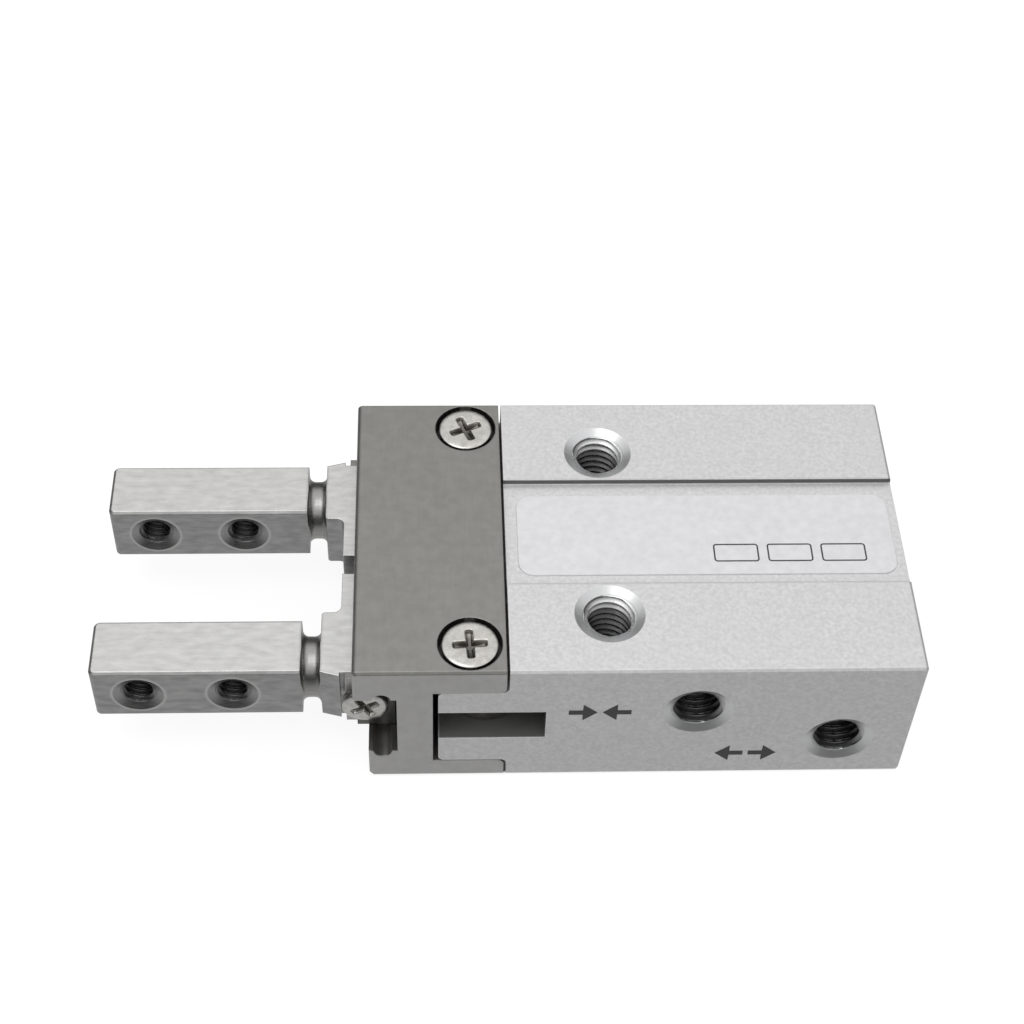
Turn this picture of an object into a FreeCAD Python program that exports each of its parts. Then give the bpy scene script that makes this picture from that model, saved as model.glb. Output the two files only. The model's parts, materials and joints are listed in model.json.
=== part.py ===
"""Pneumatic parallel gripper, 6 mm bore, drawn closed.

Millimetres. The origin is the middle of the rear mounting face, on the cylinder's axis.
+X points at the fingertips, +Z up, +Y at the side with the two air ports.
"""
import FreeCAD, Part
import math
import os
import re
import Sketcher

doc = FreeCAD.newDocument("parallel_gripper")
sheet = doc.addObject("Spreadsheet::Sheet", "dims")

SIZES = [
    # Housing block
    ("body_width", 20.0),
    ("body_tall", 10.0),
    ("step_from_rear", 22.9),
    ("tine_long", 3.9),
    ("slot_before_step", 2.1),
    ("slot_tall", 2.5),
    ("tine_round", 0.35),
    ("recess_width", 7.7),
    ("recess_deep", 0.4),
    ("edge_break", 0.15),
    ("cut_over", 1.0),
    ("mouth_angle", 120.0),
    # Threaded holes of the housing, at their nominal diameters
    ("mount_from_rear", 17.25),
    ("mount_spacing", 12.0),
    ("mount_thread", 3.0),
    ("mount_mouth", 4.0),
    ("mount_deep", 3.8),
    ("mount_core", 2.6),
    ("rear_tap_spacing", 12.0),
    ("rear_tap_rise", 2.0),
    ("rear_tap_thread", 3.0),
    ("rear_tap_mouth", 3.4),
    ("rear_tap_deep", 5.0),
    ("port_thread", 3.0),
    ("port_mouth", 4.0),
    ("port_deep", 3.0),
    ("port_channel", 1.0),
    ("close_port_from_rear", 12.3),
    ("close_port_rise", 1.15),
    ("open_port_from_rear", 4.0),
    ("open_port_drop", 1.7),
    # Cylinder
    ("bore_dia", 6.0),
    ("rod_guide_long", 4.4),
    ("cap_front", 3.4),
    ("cap_dia", 6.6),
    ("ring_from_rear", 0.6),
    ("ring_thick", 0.5),
    ("ring_dia", 7.2),
    ("ring_inner_dia", 5.0),
    ("ring_opening", 60.0),
    ("slip_gap", 0.02),
    ("gasket_section", 0.68),
    ("gasket_groove", 0.8),
    ("gasket_bevel", 0.2),
    ("cap_hollow_dia", 3.6),
    ("cap_hollow_deep", 0.9),
    # Piston
    ("piston_from_rear", 4.6),
    ("piston_long", 6.0),
    ("piston_gap", 0.05),
    ("rod_dia", 2.4),
    ("rod_gap", 0.03),
    ("stem_dia", 1.6),
    ("magnet_from_back", 0.7),
    ("magnet_long", 1.4),
    ("magnet_core", 3.8),
    ("packing_from_back", 3.0),
    ("packing_long", 1.6),
    ("packing_core", 4.0),
    ("bumper_dia", 3.4),
    ("bumper_gap", 0.05),
    ("bumper_bevel", 0.3),
    ("seal_lip", 0.4),
    ("seal_lip_deep", 0.3),
    ("rod_packing_long", 1.6),
    ("washer_long", 0.9),
    ("front_bumper_long", 1.4),
    ("front_bumper_dia", 5.0),
    # Levers
    ("pivot_from_step", 1.2),
    ("pivot_inset", 3.5),
    ("pin_dia", 1.6),
    ("lever_thick", 2.3),
    ("lever_boss", 4.6),
    ("inner_nose_from_axis", 1.3),
    ("forward_nose", 1.6),
    ("nose_inset", 0.9),
    ("inner_nose", 1.4),
    ("arm_root", 2.2),
    ("arm_tip", 1.1),
    ("nose_gap", 0.05),
    ("head_back", 1.4),
    ("head_front", 0.8),
    ("head_wide", 3.6),
    ("head_neck", 1.1),
    # Guide
    ("flange_upper", 1.9),
    ("flange_lower", 1.5),
    ("flange_round", 0.4),
    ("fork_gap", 0.06),
    ("seam_gap", 0.15),
    ("tine_gap", 0.3),
    ("web_thick", 2.0),
    ("channel_deep", 2.4),
    ("channel_tall", 5.0),
    ("lip_setback", 0.75),
    ("window_wide", 3.8),
    ("window_tall", 2.6),
    ("guide_round", 0.3),
    ("guide_screw_from_step", 2.15),
    ("guide_screw_inset", 2.0),
    ("guide_head", 3.2),
    ("guide_head_tall", 0.95),
    ("guide_head_pocket", 3.6),
    ("guide_screw", 1.6),
    ("guide_screw_long", 2.5),
    ("screw_gap", 0.01),
    ("screw_clearance", 0.2),
    ("screw_point", 0.15),
    ("head_bevel", 0.3),
    ("head_sunk", 0.05),
    ("cross_long", 1.6),
    ("cross_wide", 0.4),
    ("cross_deep", 0.45),
    # Fingers, closed
    ("finger_gap", 8.0),
    ("finger_stroke", 2.0),
    ("finger_thick", 3.7),
    ("finger_tall", 4.0),
    ("finger_long", 11.75),
    ("finger_round", 0.35),
    ("neck_long", 1.1),
    ("neck_dia", 3.45),
    ("neck_round", 0.4),
    ("base_long", 1.1),
    ("base_inner", 2.35),
    ("base_outer", 1.8),
    ("base_flare", 2.1),
    ("base_round", 0.45),
    ("base_root", 0.3),
    ("shoe_out", 0.8),
    ("shoe_back_gap", 0.1),
    ("shoe_step_back", 0.1),
    ("shoe_gap", 0.05),
    ("shoe_inset", 2.3),
    ("plate_thick", 0.45),
    ("plate_setback", 0.3),
    ("end_head", 2.6),
    ("end_head_tall", 0.6),
    ("end_screw", 1.4),
    ("end_screw_long", 1.1),
    ("end_tap_spare", 0.1),
    ("end_screw_from_front", 0.6),
    ("jaw_hole_from_tip", 2.6),
    ("jaw_hole_spacing", 5.3),
    ("jaw_thread", 2.0),
    ("jaw_mouth", 2.9),
    # Ball rows and the pin between the shoes
    ("ball_dia", 1.0),
    ("ball_spacing", 1.03),
    ("ball_from_front", 1.55),
    ("ball_gap", 0.02),
    ("stop_pin_dia", 1.2),
    ("stop_pin_from_front", 1.55),
    ("stop_pin_deep", 1.1),
    ("stop_pin_sunk", 0.4),
    ("stop_gap", 0.08),
]
for row, (alias, value) in enumerate(SIZES, 1):
    sheet.set("A%d" % row, alias)
    sheet.set("B%d" % row, str(value))
    sheet.setAlias("B%d" % row, alias)
doc.recompute()
ALIASES = set(alias for alias, value in SIZES)

# Lengths and volumes closer together than this count as equal
TOUCH = 1e-4

# Places that several pieces share, written once as formulas of the sheet's sizes
PLACES = {
    "half_wide": "(body_width / 2)",
    "half_tall": "(body_tall / 2)",
    "slot_from_rear": "(step_from_rear - slot_before_step)",
    "bore_to": "(slot_from_rear - rod_guide_long)",
    "tine_from_rear": "(step_from_rear + tine_long)",
    "tine_top": "(half_tall - flange_upper)",
    "lower_flange_top": "(flange_lower - half_tall)",
    "tine_floor": "(lower_flange_top + fork_gap)",
    "flange_tip": "(step_from_rear + seam_gap)",
    "web_back": "(tine_from_rear + tine_gap)",
    "web_front": "(web_back + web_thick)",
    "guide_front": "(web_front + channel_deep)",
    "lower_lip_front": "(guide_front - lip_setback)",
    "guide_screw_x": "(step_from_rear + guide_screw_from_step)",
    "guide_screw_y": "(half_wide - guide_screw_inset)",
    "shoe_back": "(web_front + shoe_back_gap)",
    "shoe_front": "(guide_front + shoe_out)",
    "shoe_half": "(channel_tall / 2 - shoe_gap)",
    "shoe_inner": "(stop_pin_dia / 2 + stop_gap)",
    "shoe_outer": "(half_wide - shoe_inset)",
    "race_x": "(guide_front - ball_from_front)",
    "race_half": "(channel_tall / 2 - shoe_gap / 2)",
    "race_dia": "(ball_dia + 2 * ball_gap)",
    "end_screw_x": "(guide_front - end_screw_from_front)",
    "finger_middle": "(finger_gap / 2 + finger_thick / 2)",
    "pivot_x": "(step_from_rear + pivot_from_step)",
    "pivot_y": "(half_wide - pivot_inset)",
    "nose_x": "(shoe_back + nose_inset)",
    "nose_y": "(pivot_y - finger_stroke / 2)",
    "lever_forward": "(nose_x - pivot_x)",
    "lever_inner": "(pivot_y - inner_nose_from_axis)",
    "piston_stroke": "(finger_stroke * lever_inner / lever_forward)",
    "notch_middle": "(pivot_x - piston_stroke / 2)",
}

gauge = doc.addObject("App::FeaturePython", "gauge")
gauge.addProperty("App::PropertyFloat", "Reading")


def formula(text):
    """The expression with shared places written out and every size read from the sheet."""
    while any(word in PLACES for word in re.findall(r"[a-z_]+", text)):
        text = re.sub(r"[a-z_]+", lambda found: PLACES.get(found.group(0), found.group(0)), text)
    return re.sub(r"[a-z_]+", lambda found: "dims." + found.group(0) if found.group(0) in ALIASES
                  else found.group(0), text)


def bind(thing, **expressions):
    """Ties properties of a document object to the sheet; two underscores stand for a dot."""
    for name, text in expressions.items():
        thing.setExpression(name.replace("__", "."), formula(text))


def reading(text):
    """Present value of an expression."""
    gauge.setExpression("Reading", formula(text))
    gauge.recompute()
    return gauge.Reading


def new_body(label):
    body = doc.addObject("PartDesign::Body", label)
    body.Label = label
    return body


def new_sketch(body, name, plane, offset=None):
    """Sketch on one of the body's own origin planes, moved along the plane's normal."""
    sketch = body.newObject("Sketcher::SketchObject", name)
    role = plane + "_Plane"
    support = [feature for feature in body.Origin.OriginFeatures if feature.Role == role][0]
    sketch.AttachmentSupport = [(support, "")]
    sketch.MapMode = "FlatFace"
    if offset is not None:
        bind(sketch, AttachmentOffset__Base__z=offset)
    return sketch


def pin_point(sketch, item, end, across, up):
    """Holds a point of the sketch at two expressions from the sketch's origin."""
    for kind, text in (("DistanceX", across), ("DistanceY", up)):
        place = sketch.addConstraint(Sketcher.Constraint(kind, -1, 1, item, end, reading(text)))
        sketch.setExpression("Constraints[%d]" % place, formula(text))


def outline(sketch, corners):
    """Closed outline through corners (across, up), with a third value where a square corner is rounded."""
    spots = [FreeCAD.Vector(reading(corner[0]), reading(corner[1]), 0) for corner in corners]
    ends = []
    for i, corner in enumerate(corners):
        if len(corner) == 2:
            ends.append((corner, corner))
            continue
        back = (spots[i - 1] - spots[i]).normalize()
        ahead = (spots[(i + 1) % len(spots)] - spots[i]).normalize()
        ends.append(tuple(("%s + %d * (%s)" % (corner[0], round(way.x), corner[2]),
                           "%s + %d * (%s)" % (corner[1], round(way.y), corner[2])) for way in (back, ahead)))
    lines = []
    for i in range(len(corners)):
        start = ends[i][1]
        finish = ends[(i + 1) % len(corners)][0]
        lines.append(sketch.addGeometry(Part.LineSegment(
            FreeCAD.Vector(reading(start[0]), reading(start[1]), 0),
            FreeCAD.Vector(reading(finish[0]), reading(finish[1]), 0)), False))
    for i, corner in enumerate(corners):
        before = lines[i - 1]
        after = lines[i]
        pin_point(sketch, after, 1, *ends[i][1])
        if len(corner) == 2:
            sketch.addConstraint(Sketcher.Constraint("Coincident", before, 2, after, 1))
            continue
        pin_point(sketch, before, 2, *ends[i][0])
        start = sketch.Geometry[before].EndPoint
        finish = sketch.Geometry[after].StartPoint
        centre = start + finish - spots[i]
        first = 1 if (start - centre).cross(finish - centre).z > 0 else 2
        spoke = (start if first == 1 else finish) - centre
        angle = math.atan2(spoke.y, spoke.x)
        ring = Part.Circle(centre, FreeCAD.Vector(0, 0, 1), reading(corner[2]))
        arc = sketch.addGeometry(Part.ArcOfCircle(ring, angle, angle + math.pi / 2), False)
        sketch.addConstraint(Sketcher.Constraint("Coincident", arc, first, before, 2))
        sketch.addConstraint(Sketcher.Constraint("Coincident", arc, 3 - first, after, 1))
        size = sketch.addConstraint(Sketcher.Constraint("Radius", arc, reading(corner[2])))
        sketch.setExpression("Constraints[%d]" % size, formula(corner[2]))


def box_outline(sketch, low, high, floor, top):
    outline(sketch, [(low, floor), (high, floor), (high, top), (low, top)])


def circle(sketch, across, up, diameter):
    spot = FreeCAD.Vector(reading(across), reading(up), 0)
    ring = sketch.addGeometry(Part.Circle(spot, FreeCAD.Vector(0, 0, 1), reading(diameter) / 2), False)
    pin_point(sketch, ring, 3, across, up)
    size = sketch.addConstraint(Sketcher.Constraint("Diameter", ring, reading(diameter)))
    sketch.setExpression("Constraints[%d]" % size, formula(diameter))


def settle(body, feature, grows, before=None):
    """Recomputes the body and checks that the feature added or removed material."""
    if before is None:
        before = 0.0 if body.Shape.isNull() else body.Shape.Volume
    doc.recompute()
    change = body.Shape.Volume - before
    if (change > TOUCH) != grows or (change < -TOUCH) == grows:
        raise RuntimeError("%s changes its body by %.4f" % (feature.Label, change))
    return feature


def pad(body, sketch, length, symmetric=False, backwards=False):
    feature = body.newObject("PartDesign::Pad", sketch.Label + "_pad")
    feature.Profile = sketch
    feature.SideType = "Symmetric" if symmetric else "One side"
    feature.Reversed = backwards
    bind(feature, Length=length)
    return settle(body, feature, True)


def pocket(body, sketch, length, backwards=False):
    """Cut against the sketch's normal, or along it when backwards."""
    feature = body.newObject("PartDesign::Pocket", sketch.Label + "_cut")
    feature.Profile = sketch
    feature.Reversed = backwards
    bind(feature, Length=length)
    return settle(body, feature, False)


def turned(body, sketch, axis, grows=True, angle="360"):
    """Revolution or, when it removes material, groove about an axis of the sketch."""
    kind = "PartDesign::Revolution" if grows else "PartDesign::Groove"
    feature = body.newObject(kind, sketch.Label + "_turn")
    feature.Profile = sketch
    feature.ReferenceAxis = (sketch, [axis])
    bind(feature, Angle=angle)
    return settle(body, feature, grows)


def drilled(body, sketch, diameter, depth, mouth, mouth_depth=None, backwards=False):
    """Flat or pointed holes at the sketch's circles; depth None goes right through."""
    before = body.Shape.Volume
    feature = body.newObject("PartDesign::Hole", sketch.Label + "_holes")
    feature.Profile = sketch
    doc.recompute()
    feature.Reversed = backwards
    feature.DepthType = "ThroughAll" if depth is None else "Dimension"
    feature.DrillPoint = "Flat" if depth is None else "Angled"
    feature.HoleCutType = "Countersink" if mouth_depth is None else "Counterbore"
    bind(feature, Diameter=diameter, HoleCutDiameter=mouth)
    if depth is not None:
        bind(feature, Depth=depth)
    if mouth_depth is None:
        bind(feature, HoleCutCountersinkAngle="mouth_angle")
    else:
        bind(feature, HoleCutDepth=mouth_depth)
    return settle(body, feature, False, before)


def dress(body, kind, size, wanted):
    """Chamfer or Fillet on the tip's edges for which wanted(middle) holds."""
    tip = body.Tip
    names = []
    for number, edge in enumerate(tip.Shape.Edges, 1):
        middle = edge.valueAt((edge.FirstParameter + edge.LastParameter) / 2)
        if wanted(middle):
            names.append("Edge%d" % number)
    feature = body.newObject("PartDesign::" + kind, body.Label + "_" + kind.lower())
    feature.Base = (tip, names)
    bind(feature, **{"Size" if kind == "Chamfer" else "Radius": size})
    return settle(body, feature, False)


def near(first, second):
    return abs(first - second) < TOUCH


# Housing block: an aluminium bar with a forked front end, drilled for the cylinder and its threads
body_block = new_body("body_block")
fork = new_sketch(body_block, "fork_side", "XZ")
outline(fork, [
    ("0", "-half_tall"), ("0", "half_tall"),
    ("step_from_rear", "half_tall"), ("step_from_rear", "tine_top", "flange_round"),
    ("tine_from_rear", "tine_top", "tine_round"), ("tine_from_rear", "slot_tall / 2"),
    ("slot_from_rear", "slot_tall / 2"), ("slot_from_rear", "-slot_tall / 2"),
    ("tine_from_rear", "-slot_tall / 2"), ("tine_from_rear", "tine_floor", "tine_round"),
    ("step_from_rear", "tine_floor", "flange_round"), ("step_from_rear", "-half_tall"),
])
pad(body_block, fork, "body_width", symmetric=True)
half_wide = reading("half_wide")
half_tall = reading("half_tall")
dress(body_block, "Chamfer", "edge_break", lambda middle:
      (near(abs(middle.y), half_wide) and near(abs(middle.z), half_tall))
      or (near(middle.x, 0) and (near(abs(middle.y), half_wide) or near(abs(middle.z), half_tall))))
recess = new_sketch(body_block, "label_recess", "XY", "half_tall")
box_outline(recess, "-cut_over", "step_from_rear + cut_over", "-recess_width / 2", "recess_width / 2")
pocket(body_block, recess, "recess_deep")
bore = new_sketch(body_block, "bore_section", "XZ")
outline(bore, [
    ("-cut_over", "0"), ("-cut_over", "cap_dia / 2"),
    ("ring_from_rear", "cap_dia / 2"), ("ring_from_rear", "ring_dia / 2"),
    ("ring_from_rear + ring_thick", "ring_dia / 2"), ("ring_from_rear + ring_thick", "cap_dia / 2"),
    ("cap_front", "cap_dia / 2"), ("cap_front", "bore_dia / 2"),
    ("bore_to", "bore_dia / 2"), ("bore_to", "rod_dia / 2 + rod_gap"),
    ("slot_from_rear + cut_over", "rod_dia / 2 + rod_gap"), ("slot_from_rear + cut_over", "0"),
])
turned(body_block, bore, "H_Axis", grows=False)
for face, offset, backwards in (("top", "half_tall", False), ("bottom", "-half_tall", True)):
    mount = new_sketch(body_block, face + "_mount", "XY", offset)
    for side in ("", "-"):
        circle(mount, "mount_from_rear", side + "mount_spacing / 2", "mount_thread")
    drilled(body_block, mount, "mount_thread", "mount_deep", "mount_mouth", backwards=backwards)
core = new_sketch(body_block, "mount_core", "XY", "half_tall")
for side in ("", "-"):
    circle(core, "mount_from_rear", side + "mount_spacing / 2", "mount_core")
pocket(body_block, core, "body_tall")
rear = new_sketch(body_block, "rear_taps", "YZ")
circle(rear, "rear_tap_spacing / 2", "rear_tap_rise", "rear_tap_thread")
circle(rear, "-rear_tap_spacing / 2", "-rear_tap_rise", "rear_tap_thread")
drilled(body_block, rear, "rear_tap_thread", "rear_tap_deep", "rear_tap_mouth", backwards=True)
PORTS = (("close_port", "close_port_from_rear", "close_port_rise"),
         ("open_port", "open_port_from_rear", "-open_port_drop"))
for name, across, up in PORTS:
    port = new_sketch(body_block, name, "XZ", "-half_wide")
    circle(port, across, up, "port_thread")
    drilled(body_block, port, "port_thread", "port_deep", "port_mouth", backwards=True)
    channel = new_sketch(body_block, name + "_channel", "XZ", "-half_wide")
    circle(channel, across, up, "port_channel")
    pocket(body_block, channel, "half_wide", backwards=True)
tine_holes = new_sketch(body_block, "tine_holes", "XY", "tine_top + flange_round")
for side in ("", "-"):
    circle(tine_holes, "pivot_x", side + "pivot_y", "pin_dia")
pocket(body_block, tine_holes, "body_tall")
tine_taps = new_sketch(body_block, "tine_taps", "XY", "tine_top")
for side in ("", "-"):
    circle(tine_taps, "guide_screw_x", side + "guide_screw_y", "guide_screw")
pocket(body_block, tine_taps, "tine_top - slot_tall / 2")

# Guide: a steel saddle with the ball channel along its front, pushed over the fork and screwed down
guide = new_body("guide")
saddle = new_sketch(guide, "saddle_side", "XZ")
outline(saddle, [
    ("flange_tip", "half_tall"), ("guide_front", "half_tall", "guide_round"),
    ("guide_front", "channel_tall / 2"), ("web_front", "channel_tall / 2"),
    ("web_front", "-channel_tall / 2"), ("lower_lip_front", "-channel_tall / 2"),
    ("lower_lip_front", "-half_tall", "guide_round"), ("flange_tip", "-half_tall"),
    ("flange_tip", "lower_flange_top", "flange_round"), ("web_back", "lower_flange_top"),
    ("web_back", "tine_top"), ("flange_tip", "tine_top", "flange_round"),
])
pad(guide, saddle, "body_width", symmetric=True)
dress(guide, "Chamfer", "edge_break", lambda middle:
      near(abs(middle.y), half_wide) and near(abs(middle.z), half_tall))
races = new_sketch(guide, "races", "XZ", "-half_wide")
for side in ("", "-"):
    circle(races, "race_x", side + "race_half", "race_dia")
pocket(guide, races, "body_width", backwards=True)
windows = new_sketch(guide, "windows", "YZ", "web_front")
for side in ("", "-"):
    low = side + "(pivot_y - window_wide / 2)"
    high = side + "(pivot_y + window_wide / 2)"
    outline(windows, [(low, "-window_tall / 2", "guide_round"), (high, "-window_tall / 2", "guide_round"),
                      (high, "window_tall / 2", "guide_round"), (low, "window_tall / 2", "guide_round")])
pocket(guide, windows, "web_thick")
heads = new_sketch(guide, "head_pockets", "XY", "half_tall")
for side in ("", "-"):
    circle(heads, "guide_screw_x", side + "guide_screw_y", "guide_screw + screw_clearance")
drilled(guide, heads, "guide_screw + screw_clearance", "flange_upper",
        "guide_head_pocket", "guide_head_tall + head_sunk")
stop_hole = new_sketch(guide, "stop_pin_hole", "XY", "-half_tall")
circle(stop_hole, "guide_front - stop_pin_from_front", "0", "stop_pin_dia")
pocket(guide, stop_hole, "half_tall + channel_tall / 2 + stop_pin_deep", backwards=True)


def pan_screw(label, head, head_tall, shank, shank_long):
    """Pan-head screw on its own Z axis with the underside of the head at 0, and a cross in the head."""
    screw = new_body(label)
    section = new_sketch(screw, label + "_section", "XZ")
    outline(section, [
        ("0", "-" + shank_long), (shank + " / 2 - screw_gap - screw_point", "-" + shank_long),
        (shank + " / 2 - screw_gap", "screw_point - " + shank_long), (shank + " / 2 - screw_gap", "0"),
        (head + " / 2", "0"), (head + " / 2", head_tall + " - head_bevel"),
        (head + " / 2 - head_bevel", head_tall), ("0", head_tall),
    ])
    turned(screw, section, "V_Axis")
    cross = new_sketch(screw, label + "_cross", "XY", head_tall)
    arm = "cross_long / 2 * %s / guide_head" % head
    slim = "cross_wide / 2"
    outline(cross, [
        (arm, "-" + slim), (arm, slim), (slim, slim), (slim, arm), ("-" + slim, arm), ("-" + slim, slim),
        ("-" + arm, slim), ("-" + arm, "-" + slim), ("-" + slim, "-" + slim), ("-" + slim, "-" + arm),
        (slim, "-" + arm), (slim, "-" + slim),
    ])
    pocket(screw, cross, "cross_deep * %s / guide_head_tall" % head_tall)
    return screw


def grouped(label, members):
    group = doc.addObject("Part::Compound", label)
    group.Label = label
    group.Links = members
    return group


# Guide screws: two pan heads sunk in the upper flange, threaded into the upper tine
screw_pair = []
for name, side in (("guide_screw_port_side", ""), ("guide_screw_back_side", "-")):
    screw = pan_screw(name, "guide_head", "guide_head_tall", "guide_screw", "guide_screw_long")
    bind(screw, Placement__Base__x="guide_screw_x", Placement__Base__y=side + "guide_screw_y",
         Placement__Base__z="half_tall - guide_head_tall - head_sunk")
    screw_pair.append(screw)
guide_screws = grouped("guide_screws", screw_pair)

# Lever pins: two hardened pins pressed through both tines and covered by the guide's flanges
pins = []
for name, side in (("lever_pin_port_side", ""), ("lever_pin_back_side", "-")):
    pin = doc.addObject("Part::Cylinder", name)
    bind(pin, Radius="pin_dia / 2 - screw_gap", Height="tine_top - tine_floor",
         Placement__Base__x="pivot_x", Placement__Base__y=side + "pivot_y",
         Placement__Base__z="tine_floor")
    pins.append(pin)
lever_pins = grouped("lever_pins", pins)

# Centre stop pin: pressed up through the guide's lower lip, the shoes meet it when the fingers close
centre_stop_pin = doc.addObject("Part::Cylinder", "centre_stop_pin")
bind(centre_stop_pin, Radius="stop_pin_dia / 2 - screw_gap",
     Height="half_tall + channel_tall / 2 + stop_pin_deep - stop_pin_sunk",
     Placement__Base__x="guide_front - stop_pin_from_front", Placement__Base__z="stop_pin_sunk - half_tall")

# End cap: closes the bore behind the piston, with a groove round it for its gasket
cap_back = "ring_from_rear + ring_thick"
groove_back = "((ring_from_rear + ring_thick + cap_front) / 2 - gasket_groove / 2)"
groove_floor = "cap_dia / 2 - gasket_section - slip_gap"
end_cap = new_body("end_cap")
cap_section = new_sketch(end_cap, "cap_section", "XZ")
outline(cap_section, [
    (cap_back + " + cap_hollow_deep", "0"), (cap_back + " + cap_hollow_deep", "cap_hollow_dia / 2"),
    (cap_back, "cap_hollow_dia / 2"), (cap_back, "cap_dia / 2 - slip_gap"),
    (groove_back, "cap_dia / 2 - slip_gap"), (groove_back, groove_floor),
    (groove_back + " + gasket_groove", groove_floor),
    (groove_back + " + gasket_groove", "cap_dia / 2 - slip_gap"),
    ("cap_front", "cap_dia / 2 - slip_gap"), ("cap_front", "0"),
])
turned(end_cap, cap_section, "H_Axis")

# End cap gasket: a rubber ring with eased corners in the cap's groove
end_cap_gasket = new_body("end_cap_gasket")
gasket_section = new_sketch(end_cap_gasket, "gasket_profile", "XZ")
gasket_back = "(%s + gasket_groove / 2 - gasket_section / 2)" % groove_back
gasket_floor = "(cap_dia / 2 - slip_gap / 2 - gasket_section)"
outline(gasket_section, [
    (gasket_back, gasket_floor), (gasket_back + " + gasket_section", gasket_floor),
    (gasket_back + " + gasket_section", gasket_floor + " + gasket_section - gasket_bevel"),
    (gasket_back + " + gasket_section - gasket_bevel", gasket_floor + " + gasket_section"),
    (gasket_back + " + gasket_bevel", gasket_floor + " + gasket_section"),
    (gasket_back, gasket_floor + " + gasket_section - gasket_bevel"),
])
turned(end_cap_gasket, gasket_section, "H_Axis")

# Retaining ring: an open spring ring sprung into its groove behind the cap
retaining_ring = new_body("retaining_ring")
ring_section = new_sketch(retaining_ring, "ring_section", "XZ")
box_outline(ring_section, "ring_from_rear", cap_back, "ring_inner_dia / 2", "ring_dia / 2 - slip_gap")
turned(retaining_ring, ring_section, "H_Axis", angle="360 - ring_opening")

# Rod seal, washer and front bumper: slipped in from the rear against the front end of the bore
seal_back = "bore_to - rod_packing_long"
washer_back = "(bore_to - rod_packing_long - washer_long)"
rod_seal = new_body("rod_seal")
seal_section = new_sketch(rod_seal, "rod_seal_section", "XZ")
outline(seal_section, [
    (seal_back, "rod_dia / 2 + slip_gap"), ("bore_to", "rod_dia / 2 + slip_gap"),
    ("bore_to", "bore_dia / 2 - slip_gap"), (seal_back, "bore_dia / 2 - slip_gap"),
    (seal_back, "bore_dia / 2 - slip_gap - seal_lip"),
    ("bore_to - rod_packing_long / 2", "(bore_dia + rod_dia) / 4"),
    (seal_back, "rod_dia / 2 + slip_gap + seal_lip"),
])
turned(rod_seal, seal_section, "H_Axis")
rod_washer = new_body("rod_washer")
washer_section = new_sketch(rod_washer, "rod_washer_section", "XZ")
box_outline(washer_section, washer_back, seal_back, "rod_dia / 2 + rod_gap", "bore_dia / 2 - slip_gap")
turned(rod_washer, washer_section, "H_Axis")
front_bumper = new_body("front_bumper")
bumper_section = new_sketch(front_bumper, "front_bumper_section", "XZ")
outline(bumper_section, [
    (washer_back + " - front_bumper_long", "rod_dia / 2 + rod_gap"), (washer_back, "rod_dia / 2 + rod_gap"),
    (washer_back, "front_bumper_dia / 2"),
    (washer_back + " - front_bumper_long", "front_bumper_dia / 2 - bumper_bevel"),
])
turned(front_bumper, bumper_section, "H_Axis")

# Piston and rod: one turned piece with grooves for the magnet and the seal, and a threaded stem
head_start = "(notch_middle - inner_nose / 2 - nose_gap - head_back)"
notch_start = "(notch_middle - inner_nose / 2 - nose_gap)"
notch_end = "(notch_middle + inner_nose / 2 + nose_gap)"
magnet_start = "(piston_from_rear + magnet_from_back)"
packing_start = "(piston_from_rear + packing_from_back)"
land = "bore_dia / 2 - piston_gap"
piston_rod = new_body("piston_rod")
piston_section = new_sketch(piston_rod, "piston_section", "XZ")
outline(piston_section, [
    ("piston_from_rear", "0"), ("piston_from_rear", land),
    (magnet_start, land), (magnet_start, "magnet_core / 2"),
    (magnet_start + " + magnet_long", "magnet_core / 2"), (magnet_start + " + magnet_long", land),
    (packing_start, land), (packing_start, "packing_core / 2"),
    (packing_start + " + packing_long", "packing_core / 2"), (packing_start + " + packing_long", land),
    ("piston_from_rear + piston_long", land), ("piston_from_rear + piston_long", "rod_dia / 2"),
    (head_start, "rod_dia / 2"), (head_start, "stem_dia / 2"),
    (notch_start, "stem_dia / 2"), (notch_start, "0"),
])
turned(piston_rod, piston_section, "H_Axis")

# Magnet ring and piston seal, in the piston's two grooves
magnet_ring = new_body("magnet_ring")
magnet_section = new_sketch(magnet_ring, "magnet_section", "XZ")
box_outline(magnet_section, magnet_start, magnet_start + " + magnet_long", "magnet_core / 2", land)
turned(magnet_ring, magnet_section, "H_Axis")
piston_seal = new_body("piston_seal")
packing_section = new_sketch(piston_seal, "packing_section", "XZ")
lip = "bore_dia / 2 - slip_gap"
outline(packing_section, [
    (packing_start, "packing_core / 2"), (packing_start + " + packing_long", "packing_core / 2"),
    (packing_start + " + packing_long", lip), (packing_start + " + packing_long - seal_lip", lip),
    (packing_start + " + packing_long / 2", lip + " - seal_lip_deep"), (packing_start + " + seal_lip", lip),
    (packing_start, lip),
])
turned(piston_seal, packing_section, "H_Axis")

# Rear bumper: a rubber disc bonded to the back of the piston
rear_bumper = new_body("rear_bumper")
disc_section = new_sketch(rear_bumper, "rear_bumper_section", "XZ")
outline(disc_section, [
    ("cap_front + bumper_gap", "0"), ("cap_front + bumper_gap", "bumper_dia / 2 - bumper_bevel"),
    ("piston_from_rear", "bumper_dia / 2"), ("piston_from_rear", "0"),
])
turned(rear_bumper, disc_section, "H_Axis")

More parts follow.
